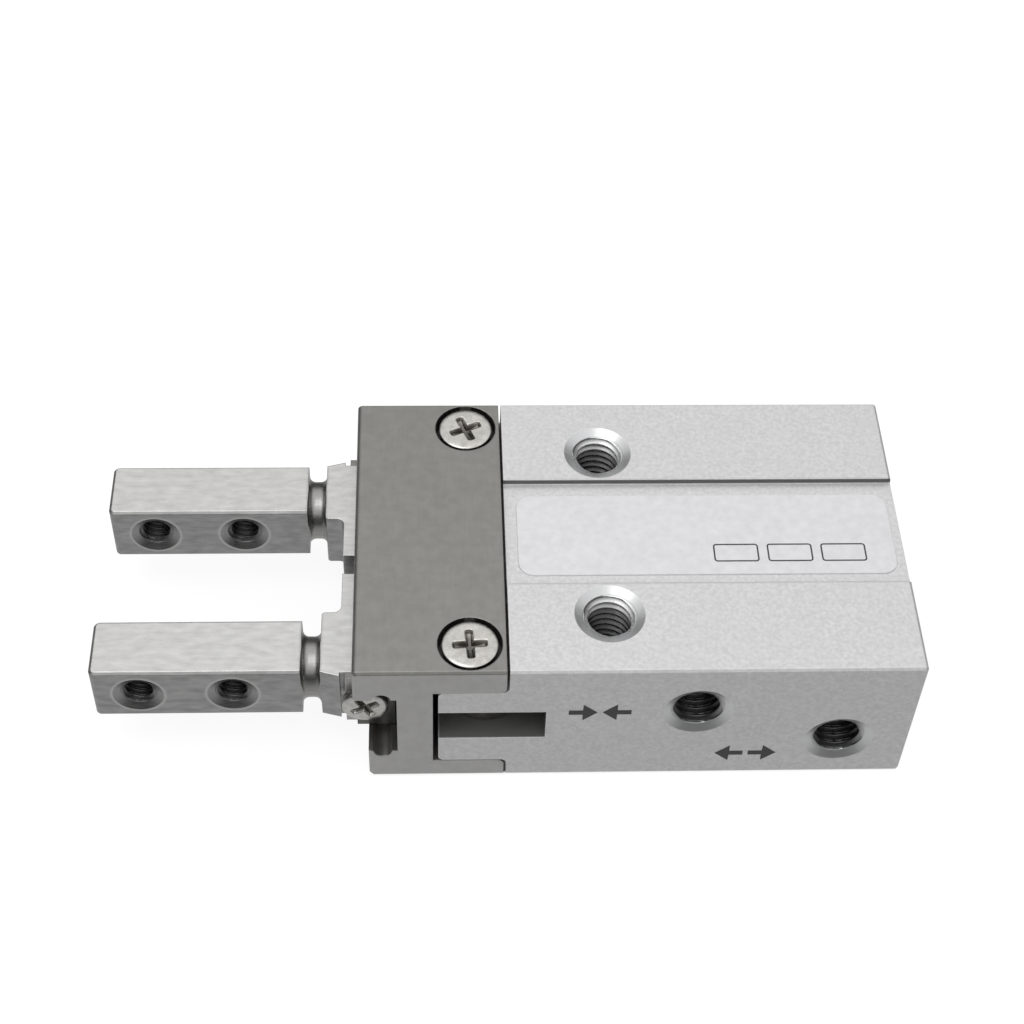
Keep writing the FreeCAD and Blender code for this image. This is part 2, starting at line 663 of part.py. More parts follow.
# Rod head: a block screwed on the stem, notched on both sides for the levers' inner noses
rod_head = new_body("rod_head")
head_plan = new_sketch(rod_head, "head_plan", "XY")
head_end = notch_end + " + head_front"
outline(head_plan, [
    (head_start, "-head_wide / 2"), (notch_start, "-head_wide / 2"), (notch_start, "-head_neck / 2"),
    (notch_end, "-head_neck / 2"), (notch_end, "-head_wide / 2"), (head_end, "-head_wide / 2"),
    (head_end, "head_wide / 2"), (notch_end, "head_wide / 2"), (notch_end, "head_neck / 2"),
    (notch_start, "head_neck / 2"), (notch_start, "head_wide / 2"), (head_start, "head_wide / 2"),
])
pad(rod_head, head_plan, "lever_thick", symmetric=True)
stem_hole = new_sketch(rod_head, "stem_hole", "YZ", head_start)
circle(stem_hole, "0", "0", "stem_dia + 2 * screw_gap")
pocket(rod_head, stem_hole, "head_back", backwards=True)


def lever(label, side):
    """Bell crank on its pivot: a boss, an arm forward to the finger and an arm in to the rod head."""
    crank = new_body(label)
    inward = "-1 * " if side > 0 else "1 * "
    boss = new_sketch(crank, label + "_boss", "XY")
    circle(boss, "0", "0", "lever_boss")
    pad(crank, boss, "lever_thick", symmetric=True)
    forward = new_sketch(crank, label + "_forward", "XY")
    outline(forward, [("0", "-arm_root / 2"), ("lever_forward", "-arm_tip / 2"),
                      ("lever_forward", "arm_tip / 2"), ("0", "arm_root / 2")])
    pad(crank, forward, "lever_thick", symmetric=True)
    forward_tip = new_sketch(crank, label + "_forward_nose", "XY")
    circle(forward_tip, "lever_forward", "0", "forward_nose")
    pad(crank, forward_tip, "lever_thick", symmetric=True)
    inner = new_sketch(crank, label + "_inner", "XY")
    outline(inner, [("-arm_root / 2", "0"), ("-arm_tip / 2", inward + "lever_inner"),
                    ("arm_tip / 2", inward + "lever_inner"), ("arm_root / 2", "0")])
    pad(crank, inner, "lever_thick", symmetric=True)
    inner_tip = new_sketch(crank, label + "_inner_nose", "XY")
    circle(inner_tip, "0", inward + "lever_inner", "inner_nose")
    pad(crank, inner_tip, "lever_thick", symmetric=True)
    eye = new_sketch(crank, label + "_eye", "XY", "lever_thick / 2")
    circle(eye, "0", "0", "pin_dia + 2 * slip_gap")
    pocket(crank, eye, "lever_thick")
    crank.Placement.Rotation = FreeCAD.Rotation(FreeCAD.Vector(0, 0, 1), 1)
    bind(crank, Placement__Base__x="pivot_x",
         Placement__Base__y=("" if side > 0 else "-") + "pivot_y",
         Placement__Rotation__Angle=inward + "finger_stroke / lever_forward / 2 * 180 / pi * 1 deg")
    return crank


# Levers: two steel bell cranks on their pins inside the fork's slot
lever_port_side = lever("lever_port_side", 1)
lever_back_side = lever("lever_back_side", -1)


def place_on_side(thing, side):
    """Puts a piece drawn about a finger's middle line on the port side or, turned over, the back side."""
    if side < 0:
        thing.Placement.Rotation = FreeCAD.Rotation(FreeCAD.Vector(1, 0, 0), 180)
    bind(thing, Placement__Base__y=("" if side > 0 else "-") + "finger_middle")


def shoe_outline(sketch, front):
    step = "guide_front - shoe_step_back"
    outline(sketch, [
        ("shoe_back", "-shoe_half"), ("shoe_back", "shoe_half"),
        (step, "shoe_half"), (step, "finger_tall / 2"),
        (front, "finger_tall / 2"), (front, "-finger_tall / 2"),
        (step, "-finger_tall / 2"), (step, "-shoe_half"),
    ])


def finger(label, side):
    """Finger drawn about its own middle line, +Y outwards: shoe, base, round neck and jaw."""
    jaw = new_body(label)
    shoe_end = "(shoe_outer - finger_middle)"
    shoe_start = "(shoe_inner - finger_middle)"
    base_front = "(shoe_front + base_long)"
    jaw_start = "(shoe_front + base_long + neck_long)"
    jaw_end = "(shoe_front + base_long + neck_long + finger_long)"
    half = "finger_thick / 2"
    shoe = new_sketch(jaw, label + "_shoe", "XZ", "-" + shoe_end)
    shoe_outline(shoe, "shoe_front")
    pad(jaw, shoe, "shoe_outer - shoe_inner")
    plan = new_sketch(jaw, label + "_plan", "XY")
    outline(plan, [
        ("shoe_front - base_root", "-base_inner - base_round - base_root"),
        ("shoe_front", "-base_inner - base_round - base_root"),
        ("shoe_front", "-base_inner", "base_round"), (base_front, "-base_inner", "neck_round / 2"),
        (base_front, "-" + half), (jaw_end, "-" + half, "finger_round"),
        (jaw_end, half, "finger_round"), (base_front + " + base_root", half),
        (base_front, "base_outer"), ("shoe_front", "base_flare"),
        ("shoe_front", "base_flare - 2 * base_root"),
        ("shoe_front - base_root", "base_flare - 2 * base_root"),
    ])
    pad(jaw, plan, "finger_tall", symmetric=True)
    neck = new_sketch(jaw, label + "_neck", "XY")
    outline(neck, [(base_front, "finger_tall"), (base_front, "neck_dia / 2", "neck_round"),
                   (jaw_start, "neck_dia / 2", "neck_round"), (jaw_start, "finger_tall")])
    turned(jaw, neck, "H_Axis", grows=False)
    start = reading(jaw_start)
    level = reading("finger_tall / 2")
    dress(jaw, "Chamfer", "edge_break", lambda middle:
          near(abs(middle.z), level) and middle.x > start + TOUCH)
    for name, offset, depth, backwards in (("outer", "-finger_thick / 2", None, True),
                                           ("inner", "finger_thick / 2", "finger_thick / 2", False)):
        face = new_sketch(jaw, label + "_" + name, "XZ", offset)
        circle(face, jaw_end + " - jaw_hole_from_tip", "0", "jaw_thread")
        circle(face, jaw_end + " - jaw_hole_from_tip - jaw_hole_spacing", "0", "jaw_thread")
        drilled(jaw, face, "jaw_thread", depth, "jaw_mouth", backwards=backwards)
    notch = new_sketch(jaw, label + "_notch", "YZ", "shoe_back")
    reach = "(forward_nose / 2 + nose_gap)"
    box_outline(notch, "nose_y - finger_middle - " + reach, "nose_y - finger_middle + " + reach,
                "-window_tall / 2", "window_tall / 2")
    pocket(jaw, notch, "nose_x - shoe_back + " + reach, backwards=True)
    race = new_sketch(jaw, label + "_race", "XZ", "-" + shoe_end)
    for up in ("race_half", "-race_half"):
        circle(race, "race_x", up, "race_dia")
    pocket(jaw, race, "4 * ball_spacing + finger_stroke / 2 + 4 * ball_gap", backwards=True)
    tap = new_sketch(jaw, label + "_end_tap", "XZ", "-" + shoe_end)
    circle(tap, "end_screw_x", "0", "end_screw")
    pocket(jaw, tap, "end_screw_long", backwards=True)
    place_on_side(jaw, side)
    return jaw


def ball_plate(label, side):
    """Plate on the shoe's outer end that keeps the balls in."""
    plate = new_body(label)
    face = new_sketch(plate, label + "_face", "XZ", "finger_middle - shoe_outer")
    shoe_outline(face, "shoe_front - plate_setback")
    circle(face, "end_screw_x", "0", "end_screw + screw_clearance")
    pad(plate, face, "plate_thick", backwards=True)
    place_on_side(plate, side)
    return plate


def ball_row(label, side, up):
    """Four balls between a shoe and the guide, against the plate while the finger is closed."""
    balls = []
    for number in range(4):
        ball = doc.addObject("Part::Sphere", "%s_%d" % (label, number + 1))
        inset = "(shoe_outer - 2 * ball_gap - ball_dia / 2 - %d * ball_spacing)" % number
        bind(ball, Radius="ball_dia / 2", Placement__Base__x="race_x",
             Placement__Base__y=("" if side > 0 else "-") + inset, Placement__Base__z=up + "race_half")
        balls.append(ball)
    return grouped(label, balls)


# Fingers with their ball plates, plate screws and ball rows, one set on each side
nodes = [body_block, guide, guide_screws, lever_pins, centre_stop_pin, end_cap, end_cap_gasket,
         retaining_ring, rod_seal, rod_washer, front_bumper, piston_rod, magnet_ring, piston_seal,
         rear_bumper, rod_head, lever_port_side, lever_back_side]
for name, side in (("port_side", 1), ("back_side", -1)):
    nodes.append(finger("finger_" + name, side))
    nodes.append(ball_plate("ball_plate_" + name, side))
    plate_screw = pan_screw("plate_screw_" + name, "end_head", "end_head_tall", "end_screw",
                            "(end_screw_long + plate_thick - end_tap_spare)")
    plate_screw.Placement.Rotation = FreeCAD.Rotation(FreeCAD.Vector(1, 0, 0), -90 * side)
    bind(plate_screw, Placement__Base__x="end_screw_x",
         Placement__Base__y=("" if side > 0 else "-") + "(shoe_outer + plate_thick)")
    nodes.append(plate_screw)
    nodes.append(ball_row("upper_balls_" + name, side, ""))
    nodes.append(ball_row("lower_balls_" + name, side, "-"))

doc.recompute()
for thing in doc.Objects:
    if "Invalid" in thing.State or "Error" in thing.State:
        raise RuntimeError("%s failed" % thing.Label)
for node in nodes:
    if node.Shape.isNull() or not node.Shape.isValid():
        raise RuntimeError("%s has no valid shape" % node.Label)
os.makedirs("parts", exist_ok=True)
for node in nodes:
    node.Shape.exportStep("parts/%s.step" % node.Label)
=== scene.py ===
"""Looks of a small pneumatic parallel gripper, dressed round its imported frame.

The file follows the gripper as it goes together: housing block, threads, label and port marks, cylinder,
levers, guide and its screws, fingers with their plates and balls, and last the floor, light and camera.
Lengths are metres unless a name ends in mm.
"""
import json
import math

import bpy
import numpy as np
from mathutils import Matrix, Vector


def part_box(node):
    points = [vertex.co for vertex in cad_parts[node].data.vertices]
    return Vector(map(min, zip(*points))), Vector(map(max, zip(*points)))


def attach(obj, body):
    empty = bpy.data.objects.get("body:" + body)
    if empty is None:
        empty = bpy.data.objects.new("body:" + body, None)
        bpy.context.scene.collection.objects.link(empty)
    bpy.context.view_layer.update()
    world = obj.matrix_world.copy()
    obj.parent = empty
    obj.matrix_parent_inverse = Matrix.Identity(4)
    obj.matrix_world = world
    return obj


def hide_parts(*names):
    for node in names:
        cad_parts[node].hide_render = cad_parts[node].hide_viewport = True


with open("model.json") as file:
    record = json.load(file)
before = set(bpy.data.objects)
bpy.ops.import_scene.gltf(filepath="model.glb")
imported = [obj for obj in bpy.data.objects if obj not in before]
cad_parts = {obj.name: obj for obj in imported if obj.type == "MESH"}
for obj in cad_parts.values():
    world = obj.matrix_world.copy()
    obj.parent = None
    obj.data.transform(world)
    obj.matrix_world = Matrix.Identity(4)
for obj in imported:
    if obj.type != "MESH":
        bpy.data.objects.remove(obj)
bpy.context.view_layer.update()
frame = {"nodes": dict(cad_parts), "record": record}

nodes = frame["nodes"]
mounts = {mount["name"]: mount for mount in frame["record"]["mounts"]}

# Housing block: one bar of aluminium with a forked front end, milled and drilled all over.
# It is bead blasted and then clear anodised, which leaves a pale, fine-grained, silky skin. Painted shade
# darkens the wall of the label's recess and the slot of the fork, and a painted highlight runs along the
# edges.


def finish(name, colour, metallic, roughness):
    """New material with even values on its shader; returns it with the shader and the Object coordinates."""
    material = bpy.data.materials.new(name)
    material.use_nodes = True
    shader = material.node_tree.nodes["Principled BSDF"]
    shader.inputs["Base Color"].default_value = (*colour, 1.0)
    shader.inputs["Metallic"].default_value = metallic
    shader.inputs["Roughness"].default_value = roughness
    place = material.node_tree.nodes.new("ShaderNodeTexCoord").outputs["Object"]
    return material, shader, place


def lumps(place, size, stretch=(1.0, 1.0, 1.0), detail=2.0):
    """Noise with lumps of the given size, drawn out by stretch along X, Y and Z."""
    tree = place.id_data
    mapping = tree.nodes.new("ShaderNodeMapping")
    mapping.inputs["Scale"].default_value = [1.0 / (size * length) for length in stretch]
    noise = tree.nodes.new("ShaderNodeTexNoise")
    noise.inputs["Scale"].default_value = 1.0
    noise.inputs["Detail"].default_value = detail
    tree.links.new(place, mapping.inputs["Vector"])
    tree.links.new(mapping.outputs["Vector"], noise.inputs["Vector"])
    return noise.outputs["Fac"]


def between(pattern, low, high, start=0.3, stop=0.7):
    """Pattern values from start to stop, carried over to low to high."""
    tree = pattern.id_data
    spread = tree.nodes.new("ShaderNodeMapRange")
    for name, value in (("From Min", start), ("From Max", stop), ("To Min", low), ("To Max", high)):
        spread.inputs[name].default_value = value
    tree.links.new(pattern, spread.inputs["Value"])
    return spread.outputs["Result"]


def tint(pattern, first, second):
    """Colour that goes from the first to the second (a colour or another colour socket) with the pattern."""
    tree = pattern.id_data
    mix = tree.nodes.new("ShaderNodeMix")
    mix.data_type = "RGBA"
    ends = [socket for socket in mix.inputs if socket.type == "RGBA"]
    for socket, colour in zip(ends, (first, second)):
        if isinstance(colour, bpy.types.NodeSocket):
            tree.links.new(colour, socket)
        else:
            socket.default_value = (*colour, 1.0)
    tree.links.new(pattern, mix.inputs["Factor"])
    return [socket for socket in mix.outputs if socket.type == "RGBA"][0]


def edge_line(place, width):
    """How far the surface turns within the given width: 0 on flats, rising towards 1 at sharp edges."""
    tree = place.id_data
    rounded = tree.nodes.new("ShaderNodeBevel")
    rounded.samples = 6
    rounded.inputs["Radius"].default_value = width
    facing = tree.nodes.new("ShaderNodeNewGeometry")
    agree = tree.nodes.new("ShaderNodeVectorMath")
    agree.operation = "DOT_PRODUCT"
    tree.links.new(rounded.outputs["Normal"], agree.inputs[0])
    tree.links.new(facing.outputs["Normal"], agree.inputs[1])
    sharp = 0.72
    flat = 0.995
    return between(agree.outputs["Value"], 1.0, 0.0, sharp, flat)


def largest(patterns):
    """The largest of several patterns at each point."""
    result = patterns[0]
    for pattern in patterns[1:]:
        higher = pattern.id_data.nodes.new("ShaderNodeMath")
        higher.operation = "MAXIMUM"
        pattern.id_data.links.new(result, higher.inputs[0])
        pattern.id_data.links.new(pattern, higher.inputs[1])
        result = higher.outputs["Value"]
    return result


def inside_box(place, low, high, soft=0.00004):
    """1 inside a box of Object coordinates and 0 outside, with a soft border.

    It is worked out from the largest overshoot of any axis past the box's half size.
    """
    tree = place.id_data
    middle = (np.array(low) + np.array(high)) / 2.0
    half = (np.array(high) - np.array(low)) / 2.0
    overshoot = place
    for operation, amount in (("SUBTRACT", middle), ("ABSOLUTE", None), ("SUBTRACT", half)):
        step = tree.nodes.new("ShaderNodeVectorMath")
        step.operation = operation
        tree.links.new(overshoot, step.inputs[0])
        if amount is not None:
            step.inputs[1].default_value = amount
        overshoot = step.outputs["Vector"]
    axes = tree.nodes.new("ShaderNodeSeparateXYZ")
    tree.links.new(overshoot, axes.inputs["Vector"])
    return between(largest(list(axes.outputs)), 1.0, 0.0, -soft, soft)


def relief(shader, *layers, edge=None):
    """Bump built from (pattern, height) layers, over edges rounded to the given radius in the shading."""
    tree = shader.id_data
    normal = None
    if edge is not None:
        rounded = tree.nodes.new("ShaderNodeBevel")
        rounded.samples = 6
        rounded.inputs["Radius"].default_value = edge
        normal = rounded.outputs["Normal"]
    for pattern, height in layers:
        bump = tree.nodes.new("ShaderNodeBump")
        bump.inputs["Distance"].default_value = height
        tree.links.new(pattern, bump.inputs["Height"])
        if normal is not None:
            tree.links.new(normal, bump.inputs["Normal"])
        normal = bump.outputs["Normal"]
    tree.links.new(normal, shader.inputs["Normal"])


def wire(source, shader, name):
    """Links a pattern or colour to one of the shader's sockets."""
    shader.id_data.links.new(source, shader.inputs[name])


def clothe(material, *names):
    """Puts a material on CAD nodes, by name."""
    for name in names:
        nodes[name].material_slots[0].material = material


block_low, block_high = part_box("body_block")
recess_depth = 0.0004
recess_half = 0.00385
recess_front = 0.0229
recess_past = 1.02
recess_foot = 0.00005
recess_rim = 0.00003
recess_floor = block_high.z - recess_depth
slot_start = 0.0208
slot_half = 0.00125
slot_past = 1.03
slot_end = 0.0001
slot_rim = 0.00005
anodised, shader, place = finish("anodised_aluminium", (0.84, 0.836, 0.84), 0.5, 0.5)
grain = lumps(place, 0.00022, detail=3.0)
cloud = lumps(place, 0.0035)
skin = tint(between(grain, 0.0, 1.0), (0.69, 0.686, 0.69), (0.84, 0.836, 0.84))
skin = tint(between(cloud, 0.0, 0.3), skin, (0.745, 0.741, 0.745))
# Painted highlight along the edges.
skin = tint(between(edge_line(place, 0.00015), 0.0, 0.9, 0.0, 1.0), skin, (0.97, 0.968, 0.97))
# Painted shade on the wall of the label's recess.
recess_wall_shade = inside_box(place, (block_low.x, -recess_past * recess_half, recess_floor + recess_foot),
                         (recess_front, recess_past * recess_half, block_high.z - recess_rim))
skin = tint(recess_wall_shade, skin, (0.16, 0.16, 0.165))
# Painted shade in the slot of the fork.
slot_shade = inside_box(place, (slot_start - slot_end, block_low.y + slot_rim, -slot_past * slot_half),
                       (block_high.x - slot_rim, block_high.y - slot_rim, slot_past * slot_half))
block_skin_and_shade = tint(slot_shade, skin, (0.21, 0.207, 0.203))
block_rough = between(lumps(place, 0.0004), 0.44, 0.56)
block_shader = shader
block_place = place
relief(shader, (lumps(place, 0.0006), 0.000004), (grain, 0.000007), edge=0.00008)
clothe(anodised, "body_block", "end_cap")

# Threads of the housing: M3 cut in the mounting holes, the rear face and the two air ports.
# They are cut after anodising: each has a bright countersink, and below it a ridge winds down into painted
# shade.
M3_RADIUS = mounts["top_taps"]["dims"]["hole_r_mm"] / 1000.0
M3_PITCH = 0.0005
M3_RIDGE = 0.00027
MOUTH_SLOPE = math.tan(math.radians(60.0))


def put_mesh(name, points, faces, material, crease=35.0):
    """New object at the origin from whole arrays, smooth except where faces meet above the crease angle."""
    mesh = bpy.data.meshes.new(name)
    mesh.from_pydata(points.reshape(-1, 3).tolist(), [], faces)
    mesh.polygons.foreach_set("use_smooth", np.ones(len(mesh.polygons), bool))
    mesh.set_sharp_from_angle(angle=math.radians(crease))
    mesh.materials.append(material)
    mesh.update()
    thing = bpy.data.objects.new(name, mesh)
    bpy.context.scene.collection.objects.link(thing)
    return thing


def note_points(thing, name, values):
    """Stores one number per point of a mesh under a name, for its material to read."""
    layer = thing.data.attributes.new(name, "FLOAT", "POINT")
    layer.data.foreach_set("value", np.asarray(values, np.float32).ravel())


def noted(place, name):
    """The number that note_points stored, as a pattern."""
    reader = place.id_data.nodes.new("ShaderNodeAttribute")
    reader.attribute_name = name
    return reader.outputs["Fac"]


def joined(grids):
    """Points and quads of several grids, each (rows, columns, 3) and closed both ways like a ring."""
    faces = []
    first = 0
    for grid in grids:
        number = first + np.arange(grid[..., 0].size).reshape(grid.shape[:2])
        number = np.vstack([number, number[:1]])
        number = np.hstack([number, number[:, :1]])
        quads = np.stack([number[:-1, :-1], number[1:, :-1], number[1:, 1:], number[:-1, 1:]], axis=-1)
        faces.extend(quads.reshape(-1, 4).tolist())
        first += grid[..., 0].size
    return np.concatenate([grid.reshape(-1, 3) for grid in grids]), faces


def square_to(outward):
    """Two unit vectors that make a right-handed frame with the outward direction."""
    outward = np.array(outward, float)
    across = np.cross(outward, (0.0, 0.0, 1.0) if abs(outward[2]) < 0.9 else (0.0, 1.0, 0.0))
    across /= np.linalg.norm(across)
    return across, np.cross(outward, across)


def thread_sleeve(mouth, outward, radius, mouth_radius, pitch, ridge, deep, through):
    """Tapped hole as a closed ring grid, with each point's depth from the nearer mouth and from the crest.

    At depth d and angle a the wall's radius is the larger of the countersink's, which is the mouth's less d
    times its slope, and the thread's: the hole's radius less the ridge times a flat-topped triangle wave of
    d / pitch + a / turn. It starts where the countersink ends, at both ends of a through hole. The ring's
    back is the drilled hole itself.
    """
    columns = 72
    rows_per_turn = 16
    skin = 0.000004
    steep = 1.3
    foot = 0.1
    start = (mouth_radius - radius) / MOUTH_SLOPE
    stop = deep - start if through else deep
    turn = np.linspace(0.0, 2.0 * np.pi, columns, endpoint=False)
    rows = int(round(rows_per_turn * (stop - start) / pitch)) + 1
    depth = np.linspace(start, stop, rows)[:, None]
    near_mouth = np.minimum(depth, deep - depth) if through else depth
    phase = (depth / pitch + turn / (2.0 * np.pi)) % 1.0
    wave = np.clip(steep * (1.0 - np.abs(2.0 * phase - 1.0)) - foot, 0.0, 1.0)
    cone = mouth_radius - near_mouth * MOUTH_SLOPE
    reach = np.maximum(cone, radius - ridge * wave) - 2 * skin
    root = np.where(cone > radius - ridge * wave, 0.0, 1.0 - wave)
    root = np.vstack([root, np.ones(root.shape)])
    reach = np.vstack([reach, np.full(reach.shape, radius - skin)])
    across, up = square_to(outward)
    spokes = np.cos(turn)[:, None] * across + np.sin(turn)[:, None] * up
    depth = np.vstack([depth, depth[::-1]])
    near_mouth = np.vstack([near_mouth, near_mouth[::-1]])
    grid = np.array(mouth) - depth[..., None] * np.array(outward, float) + reach[..., None] * spokes
    return grid[:, ::-1], np.repeat(near_mouth, columns, axis=1), root[:, ::-1]


def pair(mount, axis_name):
    """Mouths of a two-hole pattern: half the spacing along an axis to each side of its middle."""
    half = np.eye(3)["xyz".index(axis_name)] * mount["dims"]["spacing_%s_mm" % axis_name] / 2000.0
    return [np.array(mount["pos_m"]) + half, np.array(mount["pos_m"]) - half]


def cut_threads(name, body, material, mouths, outward, sizes, through=False):
    """Threads of like holes as one piece. The sizes are radius, mouth radius, pitch, ridge and depth."""
    sleeves = [thread_sleeve(mouth, outward, *sizes, through) for mouth in mouths]
    threads = put_mesh(name, *joined([grid for grid, depth, root in sleeves]), material, crease=50.0)
    note_points(threads, "depth", np.concatenate([depth.ravel() for grid, depth, root in sleeves]))
    note_points(threads, "root", np.concatenate([root.ravel() for grid, depth, root in sleeves]))
    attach(threads, body)


def tapped_finish(name, dull, bright, shadow, shallow, deep):
    """Freshly cut metal with fine swarf marks, with painted shade at the thread roots and painted shade that
    deepens between two depths.
    """
    material, shader, place = finish(name, bright, 1.0, 0.3)
    swarf = lumps(place, 0.00012, detail=3.0)
    cut = tint(between(swarf, 0.0, 1.0), dull, bright)
    # Painted shade in the thread roots, then painted shade that deepens with depth into the hole.
    cut = tint(between(noted(place, "root"), 0.0, 0.85, 0.25, 0.9), cut, shadow)
    wire(tint(between(noted(place, "depth"), 0.0, 1.0, shallow, deep), cut, shadow), shader, "Base Color")
    wire(between(swarf, 0.24, 0.42), shader, "Roughness")
    relief(shader, (swarf, 0.000003))
    return material


tapped = tapped_finish("tapped_aluminium", dull=(0.70, 0.70, 0.71), bright=(0.90, 0.905, 0.91),
                       shadow=(0.10, 0.10, 0.10), shallow=0.0007, deep=0.0014)
port_tapped = tapped_finish("tapped_port", dull=(0.66, 0.66, 0.67), bright=(0.84, 0.845, 0.85),
                            shadow=(0.11, 0.11, 0.11), shallow=0.0002, deep=0.0005)
mount_mouth_radius = 0.002
mount_depth = 0.0038
rear_mouth_radius = 0.0017
rear_tap_depth = 0.005
rear_tap_across = 0.006
rear_tap_rise = 0.002
rear_mouths = [(0.0, rear_tap_across, rear_tap_rise), (0.0, -rear_tap_across, -rear_tap_rise)]
countersinks = [(mouth, (-1, 0, 0), rear_mouth_radius) for mouth in rear_mouths]
for name in ("top_taps", "bottom_taps"):
    outward = mounts[name]["axis"]
    mouths = pair(mounts[name], "y")
    cut_threads(name + "_thread", "housing", tapped, mouths, outward,
                (M3_RADIUS, mount_mouth_radius, M3_PITCH, M3_RIDGE, mount_depth))
    countersinks.extend([(mouth, outward, mount_mouth_radius) for mouth in mouths])
cut_threads("rear_taps_thread", "housing", tapped, rear_mouths, (-1, 0, 0),
            (M3_RADIUS, rear_mouth_radius, M3_PITCH, M3_RIDGE, rear_tap_depth))
for name in ("close_port", "open_port"):
    outward = mounts[name]["axis"]
    port_face = np.array(mounts[name]["pos_m"])
    port_depth = block_high.y - port_face[1] + mounts[name]["dims"]["length_mm"] / 1000.0
    port_face[1] = block_high.y
    cut_threads(name + "_thread", "housing", port_tapped, [port_face], outward,
                (M3_RADIUS, mount_mouth_radius, M3_PITCH, M3_RIDGE, port_depth))
    countersinks.append((port_face, outward, mount_mouth_radius))
cone_skin = 0.00001
cone_past = 1.02
cones = []
for mouth, outward, mouth_radius in countersinks:
    outward = np.array(outward, float)
    cone_deep = (mouth_radius - M3_RADIUS) / MOUTH_SLOPE
    half = np.where(outward == 0.0, cone_past * mouth_radius, cone_deep / 2.0)
    middle = np.array(mouth) - outward * (cone_deep / 2.0 + cone_skin)
    cones.append(inside_box(block_place, middle - half, middle + half, cone_skin))
fresh_cut = largest(cones)
wire(tint(fresh_cut, block_skin_and_shade, (0.70, 0.705, 0.71)), block_shader, "Base Color")
blasted_metallic = 0.5
cut_metallic = 0.8
cut_rough = 0.3
wire(between(fresh_cut, blasted_metallic, cut_metallic, 0.0, 1.0), block_shader, "Metallic")
wire(tint(fresh_cut, block_rough, (cut_rough, cut_rough, cut_rough)), block_shader, "Roughness")

# Label: a silver polyester sticker with round corners, laid in the shallow recess along the top.
# It is left blank but for three empty boxes to write in.
label_thick = 0.00007
label_corner = 0.0009
label_rear = 0.0005
label_front = 0.0222
label_back_side = -0.0029
label_port_side = 0.0030
label_glue = 0.000004
label_ease = 0.00002


def rounded_loop(low, high, corner, inset, steps=12):
    """Rounded rectangle, inset evenly: each corner's quarter turn about its own centre, in order."""
    quarter = np.linspace(0.0, np.pi / 2.0, steps)
    angle = np.concatenate([quarter + quadrant * np.pi / 2.0 for quadrant in range(4)])
    left, near = np.array(low) + corner
    right, far = np.array(high) - corner
    centre = np.repeat([[right, far], [left, far], [left, near], [right, near]], steps, axis=0)
    return centre + (corner - inset) * np.stack([np.cos(angle), np.sin(angle)], axis=-1)


def plate_grid(low, high, corner, floor, top, ease):
    """Rings of a thin plate: from the floor up its side, over an eased edge and a little way in on top."""
    rings = []
    for inset, level in ((0.0, floor), (0.0, top - ease), (ease, top), (corner / 2.0, top)):
        loop = rounded_loop(low, high, corner, inset)
        rings.append(np.column_stack([loop, np.full(len(loop), level)]))
    return np.stack(rings)


def capped(rings):
    """Points and faces of stacked rings, with the first and last ring closed by one flat face each."""
    count, columns = rings.shape[:2]
    number = np.arange(count * columns).reshape(count, columns)
    around = np.hstack([number, number[:, :1]])
    quads = np.stack([around[:-1, :-1], around[:-1, 1:], around[1:, 1:], around[1:, :-1]], axis=-1)
    faces = quads.reshape(-1, 4).tolist()
    return rings, faces + [number[0, ::-1].tolist(), number[-1].tolist()]


def frame_grid(low, high, corner, wide, floor, top):
    """Printed outline as a flat closed ring: outer and inner rounded loops at the floor and the top."""
    rings = []
    for inset, level in ((0.0, floor), (0.0, top), (wide, top), (wide, floor)):
        loop = rounded_loop(low, high, corner, inset)
        rings.append(np.column_stack([loop, np.full(len(loop), level)]))
    return np.stack(rings)[:, ::-1]


film, shader, place = finish("label_film", (0.83, 0.825, 0.84), 0.45, 0.4)
fleck = lumps(place, 0.0005, detail=3.0)
wire(tint(between(fleck, 0.0, 1.0), (0.79, 0.785, 0.80), (0.87, 0.865, 0.88)), shader, "Base Color")
wire(between(lumps(place, 0.002), 0.34, 0.46), shader, "Roughness")
relief(shader, (lumps(place, 0.0025), 0.000006))
label_low = (label_rear, label_back_side)
label_high = (label_front, label_port_side)
label_top = recess_floor + label_thick
label_floor = recess_floor + label_glue
label_rings = plate_grid(label_low, label_high, label_corner, label_floor, label_top, label_ease)
label = put_mesh("blank_label", *capped(label_rings), film)
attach(label, "housing")

ink, shader, place = finish("printed_ink", (0.045, 0.045, 0.05), 0.0, 0.5)
blot = lumps(place, 0.00015, detail=3.0)
wire(tint(between(blot, 0.0, 1.0), (0.03, 0.03, 0.033), (0.075, 0.075, 0.08)), shader, "Base Color")
wire(between(blot, 0.42, 0.6), shader, "Roughness")
relief(shader, (blot, 0.000002))
ink_lift = 0.000002
ink_thick = 0.000008
box_count = 3
box_spot = (0.0022, 0.0008)
box_wide = 0.0026
box_tall = 0.0013
box_step = 0.0031
box_corner = 0.0002
box_line = 0.00009
print_grids = []
for number in range(box_count):
    corner_low = (box_spot[0] + number * box_step, box_spot[1])
    corner_high = (corner_low[0] + box_wide, corner_low[1] + box_tall)
    print_grids.append(frame_grid(corner_low, corner_high, box_corner, box_line,
                                  label_top + ink_lift, label_top + ink_thick))
label_print = put_mesh("label_print", *joined(print_grids), ink)
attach(label_print, "housing")

# Port marks: pairs of plain arrows pad-printed beside the two air ports in dark ink.
# The pair by the front port points together, for closing, and the pair by the rear port apart, for opening.
mark_face = block_high.y
arrow_long = 0.0016
arrow_shaft = 0.0004
arrow_head = 0.0015
arrow_tip = 0.00002
arrow_gap = 0.0003
close_mark_spot = (0.0178, 0.00118)
open_mark_spot = (0.0092, -0.0030)


